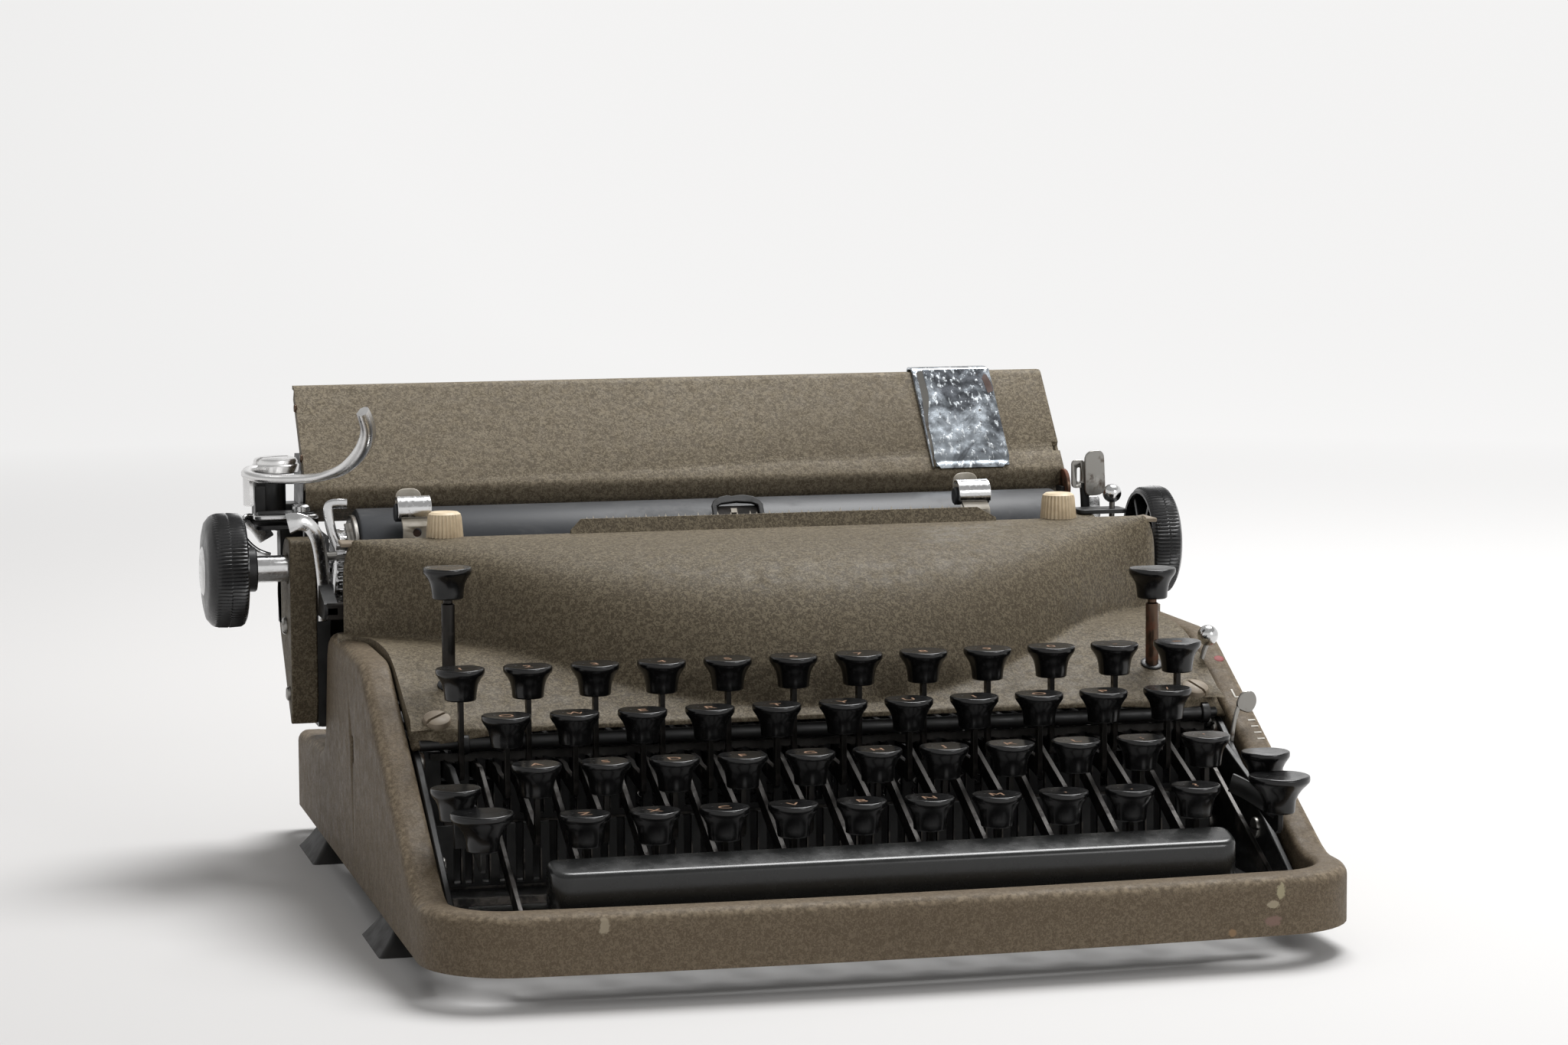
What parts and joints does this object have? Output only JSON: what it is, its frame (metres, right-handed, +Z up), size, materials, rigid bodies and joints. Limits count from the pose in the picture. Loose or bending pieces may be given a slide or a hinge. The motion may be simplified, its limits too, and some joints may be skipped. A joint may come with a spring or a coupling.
{
  "type": "portable typewriter",
  "caption": "Portable typewriter with a low casing, four rows of round keys, a bow-fronted cover and a sliding carriage with platen, knobs and paper table.",
  "frame": {"origin": "centre of the bounding box's footprint, on the table under the feet, with the carriage a little left of the casing's middle as at rest", "axes": "+X to the machine's right, along the carriage's travel; +Y to its rear, away from the keyboard; +Z up"},
  "size_m": [0.308, 0.284, 0.1461],
  "materials": {
    "olive_enamel": "wrinkle enamel, worn at the edges",
    "black_enamel": "gloss black enamel",
    "black_plastic": "gloss",
    "key_steel": "dark oiled steel under gloss black caps",
    "bright_plating": "nickel plate, a little tarnished",
    "platen_rubber": "worn, chalky in places"
  },
  "bodies": {
    "machine": {"casing": "olive_enamel", "chassis": "black_enamel", "ribbon_cover": "olive_enamel"},
    "carriage": {"carriage_frame": "black_enamel", "paper_table": "olive_enamel"},
    "paper_guide": {"paper_guide": "bright_plating"},
    "platen": {"platen": "platen_rubber", "platen_knob_left": "black_plastic", "platen_knob_right": "black_plastic"},
    "carriage_return_lever": {"carriage_return_lever": "bright_plating"},
    "paper_finger_left": {"paper_finger_left": "bright_plating"},
    "paper_finger_right": {"paper_finger_right": "bright_plating"},
    "space_bar": {"space_bar": "black_plastic"},
    "shift_bail": {"shift_bail": "key_steel"},
    "tabulator_key": {"tabulator_key": "key_steel"},
    "margin_release_key": {"margin_release_key": "key_steel"},
    "key_1": {"key_1": "key_steel"},
    "key_2": {"key_2": "key_steel"},
    "key_3": {"key_3": "key_steel"},
    "key_4": {"key_4": "key_steel"},
    "key_5": {"key_5": "key_steel"},
    "key_6": {"key_6": "key_steel"},
    "key_7": {"key_7": "key_steel"},
    "key_8": {"key_8": "key_steel"},
    "key_9": {"key_9": "key_steel"},
    "key_0": {"key_0": "key_steel"},
    "key_hyphen": {"key_hyphen": "key_steel"},
    "key_equals": {"key_equals": "key_steel"},
    "key_q": {"key_q": "key_steel"},
    "key_w": {"key_w": "key_steel"},
    "key_e": {"key_e": "key_steel"},
    "key_r": {"key_r": "key_steel"},
    "key_t": {"key_t": "key_steel"},
    "key_y": {"key_y": "key_steel"},
    "key_u": {"key_u": "key_steel"},
    "key_i": {"key_i": "key_steel"},
    "key_o": {"key_o": "key_steel"},
    "key_p": {"key_p": "key_steel"},
    "key_half": {"key_half": "key_steel"},
    "key_a": {"key_a": "key_steel"},
    "key_s": {"key_s": "key_steel"},
    "key_d": {"key_d": "key_steel"},
    "key_f": {"key_f": "key_steel"},
    "key_g": {"key_g": "key_steel"},
    "key_h": {"key_h": "key_steel"},
    "key_j": {"key_j": "key_steel"},
    "key_k": {"key_k": "key_steel"},
    "key_l": {"key_l": "key_steel"},
    "key_semicolon": {"key_semicolon": "key_steel"},
    "key_quote": {"key_quote": "key_steel"},
    "key_z": {"key_z": "key_steel"},
    "key_x": {"key_x": "key_steel"},
    "key_c": {"key_c": "key_steel"},
    "key_v": {"key_v": "key_steel"},
    "key_b": {"key_b": "key_steel"},
    "key_n": {"key_n": "key_steel"},
    "key_m": {"key_m": "key_steel"},
    "key_comma": {"key_comma": "key_steel"},
    "key_period": {"key_period": "key_steel"},
    "key_slash": {"key_slash": "key_steel"}
  },
  "joints": [
    {"name": "carriage_slide", "type": "slide", "parent": "machine", "child": "carriage", "axis": [1, 0, 0], "range_m": [-0.095, 0.115]},
    {"name": "platen_turn", "type": "hinge", "parent": "carriage", "child": "platen", "pos_m": [-0.00115, 0.0755, 0.0922], "axis": [1, 0, 0], "continuous": true},
    {"name": "return_lever_swing", "type": "hinge", "parent": "carriage", "child": "carriage_return_lever", "pos_m": [-0.12765, 0.101, 0.1165], "axis": [0, 0, 1], "range_deg": [0, 14], "stiffness_Nm_per_rad": 0.1, "springref_deg": -17.19},
    {"name": "paper_guide_slide", "type": "slide", "parent": "carriage", "child": "paper_guide", "axis": [1, 0, 0], "range_m": [-0.194, 0.016]},
    {"name": "paper_finger_left_tilt", "type": "hinge", "parent": "carriage", "child": "paper_finger_left", "pos_m": [-0.08965, 0.051, 0.0843], "axis": [1, 0, 0], "range_deg": [0, 8], "stiffness_Nm_per_rad": 0.1, "springref_deg": -17.19},
    {"name": "paper_finger_right_tilt", "type": "hinge", "parent": "carriage", "child": "paper_finger_right", "pos_m": [0.08335, 0.051, 0.0843], "axis": [1, 0, 0], "range_deg": [0, 8], "stiffness_Nm_per_rad": 0.1, "springref_deg": -17.19},
    {"name": "space_bar_press", "type": "hinge", "parent": "machine", "child": "space_bar", "pos_m": [0.01135, 0.051, 0.0475], "axis": [1, 0, 0], "range_deg": [0, 2.6], "stiffness_Nm_per_rad": 0.4, "springref_deg": -17.19},
    {"name": "shift_press", "type": "hinge", "parent": "machine", "child": "shift_bail", "pos_m": [0.01135, 0.051, 0.0475], "axis": [1, 0, 0], "range_deg": [0, 2.4], "stiffness_Nm_per_rad": 0.8, "springref_deg": -17.19},
    {"name": "tabulator_key_press", "type": "slide", "parent": "machine", "child": "tabulator_key", "axis": [0, 0, 1], "range_m": [-0.006, 0], "stiffness_N_per_m": 50, "springref_m": 0.02},
    {"name": "margin_release_key_press", "type": "slide", "parent": "machine", "child": "margin_release_key", "axis": [0, 0, 1], "range_m": [-0.006, 0], "stiffness_N_per_m": 50, "springref_m": 0.02},
    {"name": "key_1_press", "type": "hinge", "parent": "machine", "child": "key_1", "pos_m": [-0.09495, 0.051, 0.0475], "axis": [1, 0, 0], "range_deg": [0, 5.16], "stiffness_Nm_per_rad": 0.2, "springref_deg": -17.19},
    {"name": "key_2_press", "type": "hinge", "parent": "machine", "child": "key_2", "pos_m": [-0.0759, 0.051, 0.0475], "axis": [1, 0, 0], "range_deg": [0, 5.16], "stiffness_Nm_per_rad": 0.2, "springref_deg": -17.19},
    {"name": "key_3_press", "type": "hinge", "parent": "machine", "child": "key_3", "pos_m": [-0.05685, 0.051, 0.0475], "axis": [1, 0, 0], "range_deg": [0, 5.16], "stiffness_Nm_per_rad": 0.2, "springref_deg": -17.19},
    {"name": "key_4_press", "type": "hinge", "parent": "machine", "child": "key_4", "pos_m": [-0.0378, 0.051, 0.0475], "axis": [1, 0, 0], "range_deg": [0, 5.16], "stiffness_Nm_per_rad": 0.2, "springref_deg": -17.19},
    {"name": "key_5_press", "type": "hinge", "parent": "machine", "child": "key_5", "pos_m": [-0.01875, 0.051, 0.0475], "axis": [1, 0, 0], "range_deg": [0, 5.16], "stiffness_Nm_per_rad": 0.2, "springref_deg": -17.19},
    {"name": "key_6_press", "type": "hinge", "parent": "machine", "child": "key_6", "pos_m": [0.0003, 0.051, 0.0475], "axis": [1, 0, 0], "range_deg": [0, 5.16], "stiffness_Nm_per_rad": 0.2, "springref_deg": -17.19},
    {"name": "key_7_press", "type": "hinge", "parent": "machine", "child": "key_7", "pos_m": [0.01935, 0.051, 0.0475], "axis": [1, 0, 0], "range_deg": [0, 5.16], "stiffness_Nm_per_rad": 0.2, "springref_deg": -17.19},
    {"name": "key_8_press", "type": "hinge", "parent": "machine", "child": "key_8", "pos_m": [0.0384, 0.051, 0.0475], "axis": [1, 0, 0], "range_deg": [0, 5.16], "stiffness_Nm_per_rad": 0.2, "springref_deg": -17.19},
    {"name": "key_9_press", "type": "hinge", "parent": "machine", "child": "key_9", "pos_m": [0.05745, 0.051, 0.0475], "axis": [1, 0, 0], "range_deg": [0, 5.16], "stiffness_Nm_per_rad": 0.2, "springref_deg": -17.19},
    {"name": "key_0_press", "type": "hinge", "parent": "machine", "child": "key_0", "pos_m": [0.0765, 0.051, 0.0475], "axis": [1, 0, 0], "range_deg": [0, 5.16], "stiffness_Nm_per_rad": 0.2, "springref_deg": -17.19},
    {"name": "key_hyphen_press", "type": "hinge", "parent": "machine", "child": "key_hyphen", "pos_m": [0.09555, 0.051, 0.0475], "axis": [1, 0, 0], "range_deg": [0, 5.16], "stiffness_Nm_per_rad": 0.2, "springref_deg": -17.19},
    {"name": "key_equals_press", "type": "hinge", "parent": "machine", "child": "key_equals", "pos_m": [0.1146, 0.051, 0.0475], "axis": [1, 0, 0], "range_deg": [0, 5.16], "stiffness_Nm_per_rad": 0.2, "springref_deg": -17.19},
    {"name": "key_q_press", "type": "hinge", "parent": "machine", "child": "key_q", "pos_m": [-0.08543, 0.051, 0.0475], "axis": [1, 0, 0], "range_deg": [0, 4.33], "stiffness_Nm_per_rad": 0.2, "springref_deg": -17.19},
    {"name": "key_w_press", "type": "hinge", "parent": "machine", "child": "key_w", "pos_m": [-0.06638, 0.051, 0.0475], "axis": [1, 0, 0], "range_deg": [0, 4.33], "stiffness_Nm_per_rad": 0.2, "springref_deg": -17.19},
    {"name": "key_e_press", "type": "hinge", "parent": "machine", "child": "key_e", "pos_m": [-0.04732, 0.051, 0.0475], "axis": [1, 0, 0], "range_deg": [0, 4.33], "stiffness_Nm_per_rad": 0.2, "springref_deg": -17.19},
    {"name": "key_r_press", "type": "hinge", "parent": "machine", "child": "key_r", "pos_m": [-0.02828, 0.051, 0.0475], "axis": [1, 0, 0], "range_deg": [0, 4.33], "stiffness_Nm_per_rad": 0.2, "springref_deg": -17.19},
    {"name": "key_t_press", "type": "hinge", "parent": "machine", "child": "key_t", "pos_m": [-0.00923, 0.051, 0.0475], "axis": [1, 0, 0], "range_deg": [0, 4.33], "stiffness_Nm_per_rad": 0.2, "springref_deg": -17.19},
    {"name": "key_y_press", "type": "hinge", "parent": "machine", "child": "key_y", "pos_m": [0.00983, 0.051, 0.0475], "axis": [1, 0, 0], "range_deg": [0, 4.33], "stiffness_Nm_per_rad": 0.2, "springref_deg": -17.19},
    {"name": "key_u_press", "type": "hinge", "parent": "machine", "child": "key_u", "pos_m": [0.02888, 0.051, 0.0475], "axis": [1, 0, 0], "range_deg": [0, 4.33], "stiffness_Nm_per_rad": 0.2, "springref_deg": -17.19},
    {"name": "key_i_press", "type": "hinge", "parent": "machine", "child": "key_i", "pos_m": [0.04793, 0.051, 0.0475], "axis": [1, 0, 0], "range_deg": [0, 4.33], "stiffness_Nm_per_rad": 0.2, "springref_deg": -17.19},
    {"name": "key_o_press", "type": "hinge", "parent": "machine", "child": "key_o", "pos_m": [0.06698, 0.051, 0.0475], "axis": [1, 0, 0], "range_deg": [0, 4.33], "stiffness_Nm_per_rad": 0.2, "springref_deg": -17.19},
    {"name": "key_p_press", "type": "hinge", "parent": "machine", "child": "key_p", "pos_m": [0.08603, 0.051, 0.0475], "axis": [1, 0, 0], "range_deg": [0, 4.33], "stiffness_Nm_per_rad": 0.2, "springref_deg": -17.19},
    {"name": "key_half_press", "type": "hinge", "parent": "machine", "child": "key_half", "pos_m": [0.10508, 0.051, 0.0475], "axis": [1, 0, 0], "range_deg": [0, 4.33], "stiffness_Nm_per_rad": 0.2, "springref_deg": -17.19},
    {"name": "key_a_press", "type": "hinge", "parent": "machine", "child": "key_a", "pos_m": [-0.08066, 0.051, 0.0475], "axis": [1, 0, 0], "range_deg": [0, 3.72], "stiffness_Nm_per_rad": 0.2, "springref_deg": -17.19},
    {"name": "key_s_press", "type": "hinge", "parent": "machine", "child": "key_s", "pos_m": [-0.06161, 0.051, 0.0475], "axis": [1, 0, 0], "range_deg": [0, 3.72], "stiffness_Nm_per_rad": 0.2, "springref_deg": -17.19},
    {"name": "key_d_press", "type": "hinge", "parent": "machine", "child": "key_d", "pos_m": [-0.04256, 0.051, 0.0475], "axis": [1, 0, 0], "range_deg": [0, 3.72], "stiffness_Nm_per_rad": 0.2, "springref_deg": -17.19},
    {"name": "key_f_press", "type": "hinge", "parent": "machine", "child": "key_f", "pos_m": [-0.02351, 0.051, 0.0475], "axis": [1, 0, 0], "range_deg": [0, 3.72], "stiffness_Nm_per_rad": 0.2, "springref_deg": -17.19},
    {"name": "key_g_press", "type": "hinge", "parent": "machine", "child": "key_g", "pos_m": [-0.00446, 0.051, 0.0475], "axis": [1, 0, 0], "range_deg": [0, 3.72], "stiffness_Nm_per_rad": 0.2, "springref_deg": -17.19},
    {"name": "key_h_press", "type": "hinge", "parent": "machine", "child": "key_h", "pos_m": [0.01459, 0.051, 0.0475], "axis": [1, 0, 0], "range_deg": [0, 3.72], "stiffness_Nm_per_rad": 0.2, "springref_deg": -17.19},
    {"name": "key_j_press", "type": "hinge", "parent": "machine", "child": "key_j", "pos_m": [0.03364, 0.051, 0.0475], "axis": [1, 0, 0], "range_deg": [0, 3.72], "stiffness_Nm_per_rad": 0.2, "springref_deg": -17.19},
    {"name": "key_k_press", "type": "hinge", "parent": "machine", "child": "key_k", "pos_m": [0.05269, 0.051, 0.0475], "axis": [1, 0, 0], "range_deg": [0, 3.72], "stiffness_Nm_per_rad": 0.2, "springref_deg": -17.19},
    {"name": "key_l_press", "type": "hinge", "parent": "machine", "child": "key_l", "pos_m": [0.07174, 0.051, 0.0475], "axis": [1, 0, 0], "range_deg": [0, 3.72], "stiffness_Nm_per_rad": 0.2, "springref_deg": -17.19},
    {"name": "key_semicolon_press", "type": "hinge", "parent": "machine", "child": "key_semicolon", "pos_m": [0.09079, 0.051, 0.0475], "axis": [1, 0, 0], "range_deg": [0, 3.72], "stiffness_Nm_per_rad": 0.2, "springref_deg": -17.19},
    {"name": "key_quote_press", "type": "hinge", "parent": "machine", "child": "key_quote", "pos_m": [0.10984, 0.051, 0.0475], "axis": [1, 0, 0], "range_deg": [0, 3.72], "stiffness_Nm_per_rad": 0.2, "springref_deg": -17.19},
    {"name": "key_z_press", "type": "hinge", "parent": "machine", "child": "key_z", "pos_m": [-0.07114, 0.051, 0.0475], "axis": [1, 0, 0], "range_deg": [0, 3.27], "stiffness_Nm_per_rad": 0.2, "springref_deg": -17.19},
    {"name": "key_x_press", "type": "hinge", "parent": "machine", "child": "key_x", "pos_m": [-0.05209, 0.051, 0.0475], "axis": [1, 0, 0], "range_deg": [0, 3.27], "stiffness_Nm_per_rad": 0.2, "springref_deg": -17.19},
    {"name": "key_c_press", "type": "hinge", "parent": "machine", "child": "key_c", "pos_m": [-0.03304, 0.051, 0.0475], "axis": [1, 0, 0], "range_deg": [0, 3.27], "stiffness_Nm_per_rad": 0.2, "springref_deg": -17.19},
    {"name": "key_v_press", "type": "hinge", "parent": "machine", "child": "key_v", "pos_m": [-0.01399, 0.051, 0.0475], "axis": [1, 0, 0], "range_deg": [0, 3.27], "stiffness_Nm_per_rad": 0.2, "springref_deg": -17.19},
    {"name": "key_b_press", "type": "hinge", "parent": "machine", "child": "key_b", "pos_m": [0.00506, 0.051, 0.0475], "axis": [1, 0, 0], "range_deg": [0, 3.27], "stiffness_Nm_per_rad": 0.2, "springref_deg": -17.19},
    {"name": "key_n_press", "type": "hinge", "parent": "machine", "child": "key_n", "pos_m": [0.02411, 0.051, 0.0475], "axis": [1, 0, 0], "range_deg": [0, 3.27], "stiffness_Nm_per_rad": 0.2, "springref_deg": -17.19},
    {"name": "key_m_press", "type": "hinge", "parent": "machine", "child": "key_m", "pos_m": [0.04316, 0.051, 0.0475], "axis": [1, 0, 0], "range_deg": [0, 3.27], "stiffness_Nm_per_rad": 0.2, "springref_deg": -17.19},
    {"name": "key_comma_press", "type": "hinge", "parent": "machine", "child": "key_comma", "pos_m": [0.06221, 0.051, 0.0475], "axis": [1, 0, 0], "range_deg": [0, 3.27], "stiffness_Nm_per_rad": 0.2, "springref_deg": -17.19},
    {"name": "key_period_press", "type": "hinge", "parent": "machine", "child": "key_period", "pos_m": [0.08126, 0.051, 0.0475], "axis": [1, 0, 0], "range_deg": [0, 3.27], "stiffness_Nm_per_rad": 0.2, "springref_deg": -17.19},
    {"name": "key_slash_press", "type": "hinge", "parent": "machine", "child": "key_slash", "pos_m": [0.10031, 0.051, 0.0475], "axis": [1, 0, 0], "range_deg": [0, 3.27], "stiffness_Nm_per_rad": 0.2, "springref_deg": -17.19}
  ]
}
